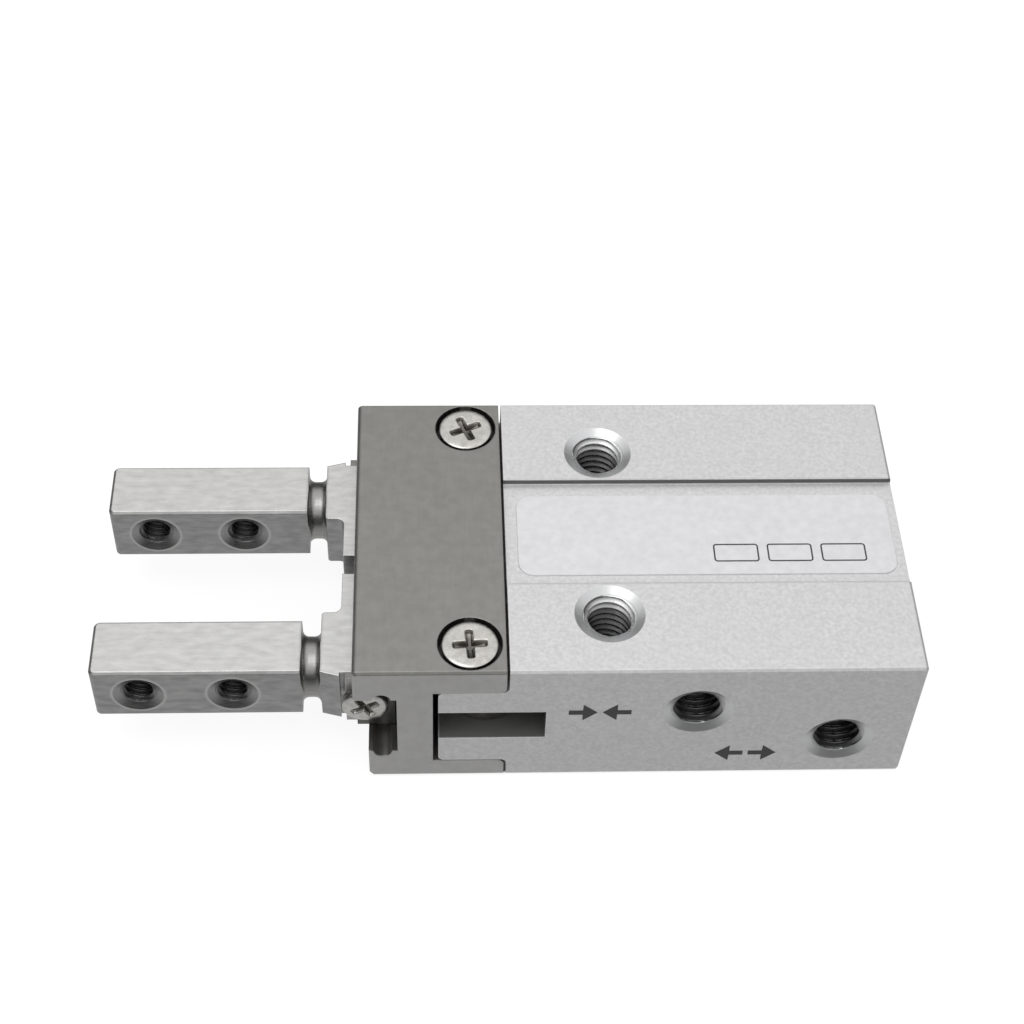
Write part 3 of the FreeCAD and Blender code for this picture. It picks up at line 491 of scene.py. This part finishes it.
def arrow_grid(tip, direction, rise):
    """Flat arrow from its tail to its tip.

    The half width is the shaft's for half its length, then the head's, falling evenly to the tip's. Rows run
    along it, and the columns are its two edges, on the face and on the back.
    """
    along = np.array([1.0, 0.51, 0.5, 0.0]) * arrow_long
    half = np.array([arrow_shaft, arrow_shaft, arrow_head, arrow_tip]) / 2.0
    x = tip - direction * along
    low = np.full(len(along), mark_face + ink_lift)
    high = np.full(len(along), mark_face + ink_lift + ink_thick)
    edges = [np.column_stack([x, low, rise + half]), np.column_stack([x, high, rise + half]),
             np.column_stack([x, high, rise - half]), np.column_stack([x, low, rise - half])]
    return np.stack(edges if direction > 0 else edges[::-1], axis=1)


def ribbon(grids):
    """Points and faces of strips whose columns close round, with both ends closed flat."""
    points = []
    faces = []
    first = 0
    for grid in grids:
        number = first + np.arange(grid[..., 0].size).reshape(grid.shape[:2])
        around = np.hstack([number, number[:, :1]])
        quads = np.stack([around[:-1, :-1], around[1:, :-1], around[1:, 1:], around[:-1, 1:]], axis=-1)
        faces.extend(quads.reshape(-1, 4).tolist())
        faces.extend([number[0].tolist(), number[-1, ::-1].tolist()])
        points.append(grid.reshape(-1, 3))
        first += grid[..., 0].size
    return np.concatenate(points), faces


for name, spot, pointing in (("close_mark", close_mark_spot, 1.0), ("open_mark", open_mark_spot, -1.0)):
    middle, rise = spot
    arrows = []
    for side in (-1.0, 1.0):
        near_end = middle + side * arrow_gap / 2.0
        far_end = near_end + side * arrow_long
        arrows.append(arrow_grid(near_end if pointing > 0 else far_end, -side * pointing, rise))
    mark = put_mesh(name, *ribbon(arrows), ink)
    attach(mark, "housing")

# Cylinder parts: seals, bumpers, washer, magnet and the turned piston with its rod, all inside the bore.
# Only the end cap and its spring ring show, from behind; the rest is finished as the real ones are.
rubber, shader, place = finish("seal_rubber", (0.025, 0.025, 0.027), 0.0, 0.55)
bloom = lumps(place, 0.0003, detail=3.0)
wire(tint(between(bloom, 0.0, 1.0), (0.018, 0.018, 0.02), (0.045, 0.045, 0.047)), shader, "Base Color")
wire(between(bloom, 0.45, 0.7), shader, "Roughness")
relief(shader, (bloom, 0.000005))
clothe(rubber, "end_cap_gasket", "rod_seal", "piston_seal")

amber, shader, place = finish("amber_urethane", (0.55, 0.38, 0.12), 0.0, 0.4)
shader.inputs["Subsurface Weight"].default_value = 0.25
shader.inputs["Subsurface Radius"].default_value = (0.0006, 0.0004, 0.0002)
streak = lumps(place, 0.0008)
wire(tint(between(streak, 0.0, 1.0), (0.48, 0.31, 0.09), (0.62, 0.45, 0.16)), shader, "Base Color")
relief(shader, (streak, 0.000006))
clothe(amber, "front_bumper", "rear_bumper")

ferrite, shader, place = finish("bonded_ferrite", (0.07, 0.065, 0.065), 0.1, 0.6)
speck = lumps(place, 0.00015, detail=4.0)
wire(tint(between(speck, 0.0, 1.0), (0.045, 0.042, 0.042), (0.12, 0.11, 0.11)), shader, "Base Color")
relief(shader, (speck, 0.000005))
clothe(ferrite, "magnet_ring")

brass, shader, place = finish("turned_brass", (0.66, 0.50, 0.24), 1.0, 0.3)
tool_mark = lumps(place, 0.00025, stretch=(0.4, 6.0, 6.0))
wire(tint(between(tool_mark, 0.0, 1.0), (0.56, 0.42, 0.19), (0.74, 0.57, 0.29)), shader, "Base Color")
relief(shader, (tool_mark, 0.000003))
clothe(brass, "rod_washer")

spring, shader, place = finish("oiled_spring_steel", (0.16, 0.155, 0.15), 1.0, 0.38)
oil = lumps(place, 0.0009, detail=3.0)
wire(tint(between(oil, 0.0, 1.0), (0.10, 0.095, 0.09), (0.22, 0.215, 0.205)), shader, "Base Color")
wire(between(lumps(place, 0.0004), 0.3, 0.5), shader, "Roughness")
relief(shader, (lumps(place, 0.00025), 0.000004), edge=0.00006)
clothe(spring, "retaining_ring")

# Rod, rod head, levers and pins: carbon steel, hardened and ground, lightly oiled.
# The levers turn on their pins inside the fork's slot, where their bosses can be seen.
hardened, shader, place = finish("hardened_steel", (0.30, 0.295, 0.29), 1.0, 0.36)
scale = lumps(place, 0.0007, detail=4.0)
ground = lumps(place, 0.00008, stretch=(10.0, 1.0, 1.0))
shade = tint(between(scale, 0.0, 1.0), (0.20, 0.195, 0.19), (0.34, 0.335, 0.33))
# Painted highlight along the edges.
edge_highlight = between(edge_line(place, 0.0001), 0.0, 0.7, 0.0, 1.0)
wire(tint(edge_highlight, shade, (0.5, 0.495, 0.49)), shader, "Base Color")
wire(between(scale, 0.28, 0.46), shader, "Roughness")
relief(shader, (ground, 0.000002), (scale, 0.000004), edge=0.00006)
clothe(hardened, "piston_rod", "rod_head", "lever_port_side", "lever_back_side", "lever_pins",
       "centre_stop_pin")

# Guide: a saddle of stainless steel over the fork, its front milled into the channel for the balls.
# Satin steel, with painted shade that darkens the top, the channel and the screw pockets, and a faint
# painted highlight along the edges; fine grinding lines run across the gripper.
# The plates at the shoes' outer ends are of the same steel.


def upward(place, start, stop):
    """0 on sides and underneath, 1 where the surface faces up: the normal's rise from start to stop."""
    tree = place.id_data
    facing = tree.nodes.new("ShaderNodeNewGeometry")
    axes = tree.nodes.new("ShaderNodeSeparateXYZ")
    tree.links.new(facing.outputs["Normal"], axes.inputs["Vector"])
    return between(axes.outputs["Z"], 0.0, 1.0, start, stop)


guide_steel, shader, place = finish("guide_stainless", (0.27, 0.265, 0.255), 0.9, 0.42)
lines = lumps(place, 0.00006, stretch=(1.0, 30.0, 1.0))
mottle = lumps(place, 0.0006, detail=3.0)
satin = tint(between(mottle, 0.0, 1.0), (0.48, 0.475, 0.47), (0.53, 0.525, 0.52))
# Painted shade: faces turned up are darker than the ends.
shaded_top = tint(between(mottle, 0.0, 1.0), (0.29, 0.285, 0.27), (0.325, 0.32, 0.305))
body_shade = tint(upward(place, 0.2, 0.6), satin, shaded_top)
# Painted highlight along the edges.
guide_highlight_and_shade = tint(between(edge_line(place, 0.00012), 0.0, 0.25, 0.0, 1.0), body_shade, (0.56, 0.555, 0.55))
guide_low, guide_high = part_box("guide")
channel_back = 0.0291
channel_half = 0.0025
channel_past = 1.02
channel_end = 0.0001
channel_rim = 0.00005
# Painted shade in the channel of the guide.
channel_shade = inside_box(place,
                     (channel_back - channel_end, guide_low.y + channel_rim, -channel_past * channel_half),
                     (guide_high.x, guide_high.y - channel_rim, channel_past * channel_half))
guide_highlight_and_shade = tint(channel_shade, guide_highlight_and_shade, (0.17, 0.167, 0.163))
screws_low, screws_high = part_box("guide_screws")
head_radius = (screws_high.x - screws_low.x) / 2.0
screw_across = (screws_low.x + screws_high.x) / 2.0
screw_aside = screws_high.y - head_radius
pocket_play = 0.00017
pocket_rim = 0.00003
pocket_soft = 0.00001
pocket_half = head_radius + pocket_play
# Painted shade in the pockets round the screw heads.
pocket_shade = []
for side in (1.0, -1.0):
    low = (screw_across - pocket_half, side * screw_aside - pocket_half, screws_low.z)
    high = (screw_across + pocket_half, side * screw_aside + pocket_half, guide_high.z - pocket_rim)
    pocket_shade.append(inside_box(place, low, high, pocket_soft))
wire(tint(largest(pocket_shade), guide_highlight_and_shade, (0.1, 0.098, 0.095)), shader, "Base Color")
wire(between(lines, 0.36, 0.48), shader, "Roughness")
relief(shader, (lines, 0.0000015), (lumps(place, 0.0003), 0.000003), edge=0.0001)
clothe(guide_steel, "guide", "ball_plate_port_side", "ball_plate_back_side")

# Guide screws: two nickel-plated pan heads with a cross recess, sunk in pockets of the upper flange.
# The recess is punched cold, so its arms have sloping walls and a floor that rises to their ends.


def cross_pan(radius, tall, crown, cross, shank, shank_long):
    """Pan-head screw on its own axis, underside of the head at 0. The cross is half length, width and depth.

    Head: a square grid pressed to a disc by x = u * sqrt(1 - v * v / 2), and likewise y. Its height is the
    rim's plus the crown's times sqrt(1 - q * q), less the recess, where q goes from 0 to 1 over the outer
    quarter of the radius. The recess is where either distance from the axes is under half an arm's width
    and the other under its length, with soft walls and a floor that rises outwards, and it has a round well
    in the middle. Below: rings under the head, down the shank and in to the tip.
    """
    cross_half, cross_wide, cross_deep = cross
    arm = cross_wide / 2.0 / radius
    end = cross_half / radius
    soft = 0.05
    well_reach = 1.9
    floor_rise = 0.5
    crown_start = 0.76
    skirt_rise = 0.12
    skirt_in = 0.97
    tip_rise = 0.1
    tip_in = 0.9
    rim = 1.0 - end - soft
    half = np.concatenate([
        np.linspace(0.0, arm - soft, 4)[:-1], np.linspace(arm - soft, arm + soft, 8)[:-1],
        np.linspace(arm + soft, end - soft, 8)[:-1], np.linspace(end - soft, end + soft, 7)[:-1],
        end + soft + rim * np.sin(np.linspace(0.0, np.pi / 2.0, 14))])
    steps = np.concatenate([-half[:0:-1], half])
    u, v = np.meshgrid(steps, steps, indexing="ij")
    x = u * np.sqrt(1.0 - v * v / 2.0)
    y = v * np.sqrt(1.0 - u * u / 2.0)
    reach = np.hypot(x, y)
    narrow = np.minimum(np.abs(x), np.abs(y))
    wide = np.maximum(np.abs(x), np.abs(y))

    def ease(value):
        """Smooth step: t squared times (3 less 2 t), with t held between 0 and 1."""
        value = np.clip(value, 0.0, 1.0)
        return value * value * (3.0 - 2.0 * value)

    arms = ease((arm + soft - narrow) / (2.0 * soft)) * ease((end + soft - wide) / (2.0 * soft))
    well = ease((well_reach * arm - reach) / arm)
    rising = 1.0 - floor_rise * np.clip(wide / end, 0.0, 1.0) ** 2
    recess = cross_deep * np.maximum(arms * rising, well)
    outer = np.clip((reach - crown_start) / (1.0 - crown_start), 0.0, 1.0)
    height = tall - crown + crown * np.sqrt(1.0 - outer ** 2) - recess
    top = np.stack([x * radius, y * radius, height], axis=-1)
    size = len(steps)
    number = np.arange(size * size).reshape(size, size)
    faces = np.stack([number[:-1, :-1], number[1:, :-1], number[1:, 1:], number[:-1, 1:]], -1).reshape(-1, 4)
    border = np.concatenate([number[:-1, 0], number[-1, :-1], number[:0:-1, -1], number[0, :0:-1]])
    spokes = top.reshape(-1, 3)[border, :2] / radius
    rings = [np.column_stack([spokes * across, np.full(len(border), level)])
             for across, level in ((radius, skirt_rise * tall), (radius * skirt_in, 0.0), (shank, 0.0),
                                   (shank, tip_rise * shank - shank_long), (shank * tip_in, -shank_long))]
    index = size * size + np.arange(len(rings) * len(border)).reshape(len(rings), len(border))
    index = np.vstack([border, index])
    around = np.hstack([index, index[:, :1]])
    sides = np.stack([around[:-1, :-1], around[1:, :-1], around[1:, 1:], around[:-1, 1:]], -1).reshape(-1, 4)
    points = np.concatenate([top.reshape(-1, 3), *rings])
    sunk = np.concatenate([(recess / cross_deep).ravel(), np.zeros(len(rings) * len(border))])
    return points, faces.tolist() + sides.tolist() + [index[-1, ::-1].tolist()], sunk


def stand(points, seat, outward, turn):
    """Screw points turned about their own axis and set with that axis along outward, head on the seat."""
    across, up = square_to(outward)
    angle = math.radians(turn)
    first = math.cos(angle) * across + math.sin(angle) * up
    second = np.cross(outward, first)
    return np.array(seat) + points @ np.stack([first, second, np.array(outward, float)])


nickel, shader, place = finish("bright_nickel", (0.70, 0.685, 0.65), 1.0, 0.26)
handling = lumps(place, 0.0004, detail=4.0)
plating = tint(between(handling, 0.0, 1.0), (0.50, 0.485, 0.455), (0.72, 0.705, 0.67))
# Painted shade in the cross recess.
recess_shade = between(noted(place, "recess"), 0.0, 1.0, 0.1, 0.8)
wire(tint(recess_shade, plating, (0.17, 0.163, 0.15)), shader, "Base Color")
wire(between(handling, 0.18, 0.34), shader, "Roughness")
relief(shader, (lumps(place, 0.0002), 0.000003))

head_tall = 0.00095
head_lift = 0.00004
head_fit = 0.985
head_crown = 0.00012
head_cross = (0.00092, 0.00032, 0.00045)
shank_radius = 0.00078
head_seat = screws_high.z + head_lift - head_tall
screw_long = head_seat - screws_low.z
screw_points = []
screw_faces = []
screw_sunk = []
for side, turn in ((1.0, 4.0), (-1.0, 24.0)):
    points, faces, sunk = cross_pan(head_fit * head_radius, head_tall, head_crown, head_cross, shank_radius,
                                    screw_long)
    seat = (screw_across, side * screw_aside, head_seat)
    first = sum(len(batch) for batch in screw_points)
    screw_points.append(stand(points, seat, (0.0, 0.0, 1.0), turn))
    screw_faces.extend([[first + index for index in face] for face in faces])
    screw_sunk.append(sunk)
guide_screws = put_mesh("guide_screws_cross", np.concatenate(screw_points), screw_faces, nickel, crease=60.0)
note_points(guide_screws, "recess", np.concatenate(screw_sunk))
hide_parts("guide_screws")
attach(guide_screws, "housing")

# Fingers: stainless steel, ground along their length, each one piece from its shoe to its tip.
# A round neck is turned behind the jaw, and two M2 holes for an attachment go through each jaw, countersunk
# and with a faint ring of painted highlight round each mouth. The sides and the neck carry painted shade,
# and the edges a painted highlight.


def off_axis(place, spot):
    """Distance from the line along Y through a spot."""
    tree = place.id_data
    flat = tree.nodes.new("ShaderNodeVectorMath")
    flat.operation = "MULTIPLY"
    flat.inputs[1].default_value = (1.0, 0.0, 1.0)
    away = tree.nodes.new("ShaderNodeVectorMath")
    away.operation = "DISTANCE"
    away.inputs[1].default_value = (spot[0], 0.0, spot[2])
    tree.links.new(place, flat.inputs[0])
    tree.links.new(flat.outputs["Vector"], away.inputs[0])
    return away.outputs["Value"]


neck_start = 0.0334
neck_stop = 0.0345
neck_reach = 0.012
neck_half = 0.0025
neck_soft = 0.00015
jaw_mouth_radius = 0.00145
mouth_highlight_wide = 0.0002
finger_steel, shader, place = finish("finger_stainless", (0.55, 0.545, 0.535), 1.0, 0.36)
strokes = lumps(place, 0.00009, stretch=(16.0, 1.0, 1.0), detail=3.0)
patches = lumps(place, 0.0004, stretch=(2.5, 1.0, 1.0), detail=3.0)
shade = tint(between(patches, 0.0, 1.0), (0.54, 0.535, 0.525), (0.72, 0.715, 0.705))
shade = tint(between(strokes, 0.0, 0.5), shade, (0.76, 0.755, 0.745))
# Painted shade: the sides are darker than the top.
shaded_sides = tint(between(patches, 0.0, 1.0), (0.31, 0.305, 0.305), (0.43, 0.425, 0.425))
shade = tint(upward(place, 0.5, 0.9), shaded_sides, shade)
# Painted highlight along the edges.
shade = tint(between(edge_line(place, 0.0001), 0.0, 0.7, 0.0, 1.0), shade, (0.8, 0.795, 0.785))
# Painted shade on the neck.
neck_shade = inside_box(place, (neck_start, -neck_reach, -neck_half), (neck_stop, neck_reach, neck_half),
                         neck_soft)
shade = tint(neck_shade, shade, (0.36, 0.355, 0.35))
aways = [off_axis(place, mouth) for mouth in pair(mounts["jaw_taps_port_side"], "x")]
# Painted highlight in a ring round each hole's mouth.
mouth_highlight = largest([between(away, 1.0, 0.0, jaw_mouth_radius, jaw_mouth_radius + mouth_highlight_wide) for away in aways])
cone = largest([between(away, 1.0, 0.0, jaw_mouth_radius - cone_skin, jaw_mouth_radius) for away in aways])
shade = tint(mouth_highlight, shade, (0.56, 0.555, 0.55))
wire(tint(cone, shade, (0.33, 0.325, 0.325)), shader, "Base Color")
wire(between(strokes, 0.24, 0.4), shader, "Roughness")
relief(shader, (strokes, 0.0000025), (patches, 0.000003), edge=0.00008)
clothe(finger_steel, "finger_port_side", "finger_back_side")

M2_PITCH = 0.0004
M2_RIDGE = 0.00021
jaw_thick = 0.0037
jaw_tapped = tapped_finish("tapped_stainless", dull=(0.20, 0.197, 0.195), bright=(0.30, 0.297, 0.295),
                           shadow=(0.09, 0.09, 0.09), shallow=0.0003, deep=0.0006)
for name, body in (("port_side", "finger_port"), ("back_side", "finger_back")):
    taps = mounts["jaw_taps_" + name]
    jaw_radius = taps["dims"]["hole_r_mm"] / 1000.0
    cut_threads("jaw_taps_%s_thread" % name, body, jaw_tapped, pair(taps, "x"), taps["axis"],
                (jaw_radius, jaw_mouth_radius, M2_PITCH, M2_RIDGE, jaw_thick), through=True)

# Plate screws: one small pan head on the end of each shoe, holding the plate that keeps the balls in.
# They are the same nickel-plated screws in a smaller size, and travel with their fingers.
plate_head_tall = 0.0006
plate_crown = 0.00013
plate_cross = (0.00082, 0.00034, 0.00034)
plate_shank = 0.00068
for name, side, body, turn in (("port_side", 1.0, "finger_port", 30.0),
                               ("back_side", -1.0, "finger_back", 20.0)):
    low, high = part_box("plate_screw_" + name)
    plate_head_radius = (high.x - low.x) / 2.0
    plate_screw_long = high.y - low.y - plate_head_tall
    points, faces, sunk = cross_pan(plate_head_radius, plate_head_tall, plate_crown, plate_cross,
                                    plate_shank, plate_screw_long)
    seat = ((low.x + high.x) / 2.0, (high.y if side > 0 else low.y) - side * plate_head_tall, 0.0)
    points = stand(points, seat, (0.0, side, 0.0), turn)
    screw = put_mesh("plate_screw_%s_cross" % name, points, faces, nickel, crease=60.0)
    note_points(screw, "recess", sunk)
    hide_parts("plate_screw_" + name)
    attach(screw, body)

# Balls: hardened chrome steel, lapped bright, four in each row between a shoe and the guide.
# A film of grease dulls them in patches.
polished, shader, place = finish("lapped_ball_steel", (0.72, 0.72, 0.725), 1.0, 0.1)
grease = lumps(place, 0.0006, detail=3.0)
wire(tint(between(grease, 0.0, 1.0), (0.62, 0.61, 0.58), (0.78, 0.78, 0.785)), shader, "Base Color")
wire(between(grease, 0.05, 0.28), shader, "Roughness")
clothe(polished, "upper_balls_port_side", "lower_balls_port_side",
       "upper_balls_back_side", "lower_balls_back_side")

# Floor: a plain white sweep a hair under the gripper, matt, with a glow so that it shows white.
# It has a painted shadow where the gripper covers it and is see-through from below, and the metal mirrors
# the room instead.
floor_reach = 3.0
floor_drop = 0.0001
floor_glow = 0.88
covered_rear = 0.0002
covered_front = 0.0305
covered_half = 0.0098
covered_rise = 1.0
covered_soft = 0.0001
corners = np.array([[-1, -1], [1, -1], [1, 1], [-1, 1]]) * floor_reach
floor_points = np.column_stack([corners, np.full(4, block_low.z - floor_drop)])
white, shader, place = finish("white_floor", (0.2, 0.2, 0.2), 0.0, 0.9)
shader.inputs["Specular IOR Level"].default_value = 0.0
shader.inputs["Emission Color"].default_value = (1.0, 1.0, 1.0, 1.0)
# Painted shadow on the floor under the gripper.
floor_shadow = inside_box(place, (covered_rear, -covered_half, -covered_rise),
                     (covered_front, covered_half, covered_rise), covered_soft)
wire(between(floor_shadow, floor_glow, 0.0, 0.0, 1.0), shader, "Emission Strength")
underside = shader.id_data.nodes.new("ShaderNodeNewGeometry").outputs["Backfacing"]
wire(between(underside, 1.0, 0.0, 0.0, 1.0), shader, "Alpha")
floor = put_mesh("floor", floor_points, [[0, 1, 2, 3]], white)
floor.visible_glossy = False
floor.visible_diffuse = False

# Light: a room that is white overhead, dark in a band round the horizon and mid grey below, as in a small
# light tent, and one soft box above and to the left. The camera itself sees a plain white backdrop.
world = bpy.data.worlds.new("pale_room")
world.use_nodes = True
room = world.node_tree
direction = room.nodes.new("ShaderNodeTexCoord").outputs["Generated"]
heights = room.nodes.new("ShaderNodeSeparateXYZ")
room.links.new(direction, heights.inputs["Vector"])
room_shade = room.nodes.new("ShaderNodeValToRGB")
room_shade.color_ramp.elements[0].color = (0.60, 0.60, 0.60, 1.0)
room_shade.color_ramp.elements[1].color = (1.0, 1.0, 1.0, 1.0)
room_steps = ((0.13, 0.58), (0.25, 0.49), (0.40, 0.22), (0.50, 0.06), (0.62, 0.08), (0.72, 0.22),
              (0.79, 0.80), (0.86, 0.92), (0.95, 1.0))
room_strength = 1.01
for height, shade in room_steps:
    room_shade.color_ramp.elements.new(height).color = (shade, shade, shade, 1.0)
room.links.new(between(heights.outputs["Z"], 0.0, 1.0, -1.0, 1.0), room_shade.inputs["Fac"])
seen = room.nodes.new("ShaderNodeLightPath").outputs["Is Camera Ray"]
backdrop = tint(seen, room_shade.outputs["Color"], (1.0, 1.0, 1.0))
room.links.new(backdrop, room.nodes["Background"].inputs["Color"])
room.nodes["Background"].inputs["Strength"].default_value = room_strength
bpy.context.scene.world = world
bpy.context.scene.view_settings.view_transform = "Standard"


def soft_box(name, middle, aim, wide, tall, watts):
    """Flat light of the given size at a spot, turned to face its aim."""
    light = bpy.data.lights.new(name, "AREA")
    light.shape = "RECTANGLE"
    light.size = wide
    light.size_y = tall
    light.energy = watts
    lamp = bpy.data.objects.new(name, light)
    bpy.context.scene.collection.objects.link(lamp)
    lamp.location = middle
    lamp.rotation_euler = (Vector(aim) - Vector(middle)).to_track_quat("-Z", "Y").to_euler()


middle_of_part = (0.023, 0.0, 0.0)
soft_box_spot = (0.18, 0.10, 0.5)
soft_box_side = 0.35
soft_box_watts = 0.5
soft_box("soft_box_above", soft_box_spot, middle_of_part, soft_box_side, soft_box_side, soft_box_watts)

# Camera: above the port side at the photograph's angle, with a medium lens.
# It stands a hand's width away and leans very slightly to one side.
camera_spot = (0.02727, 0.07270, 0.09244)
camera_turn = math.radians(176.29)
camera_rise = math.radians(49.66)
camera_lean = math.radians(2.54)
focal_pixels = 1986.0
picture_pixels = 1024.0
back = np.array([math.sin(camera_turn) * math.cos(camera_rise),
                 -math.cos(camera_turn) * math.cos(camera_rise),
                 math.sin(camera_rise)])
level = np.array([math.cos(camera_turn), math.sin(camera_turn), 0.0])
above = np.cross(back, level)
right = level * math.cos(camera_lean) + above * math.sin(camera_lean)
upright = above * math.cos(camera_lean) - level * math.sin(camera_lean)
lens = bpy.data.cameras.new("camera")
lens.sensor_width = 36.0
lens.lens = focal_pixels * lens.sensor_width / picture_pixels
lens.clip_start = 0.005
camera = bpy.data.objects.new("camera", lens)
pose = np.eye(4)
pose[:3, 0] = right
pose[:3, 1] = upright
pose[:3, 2] = back
pose[:3, 3] = camera_spot
camera.matrix_world = Matrix(pose.tolist())
bpy.context.scene.collection.objects.link(camera)
bpy.context.scene.camera = camera
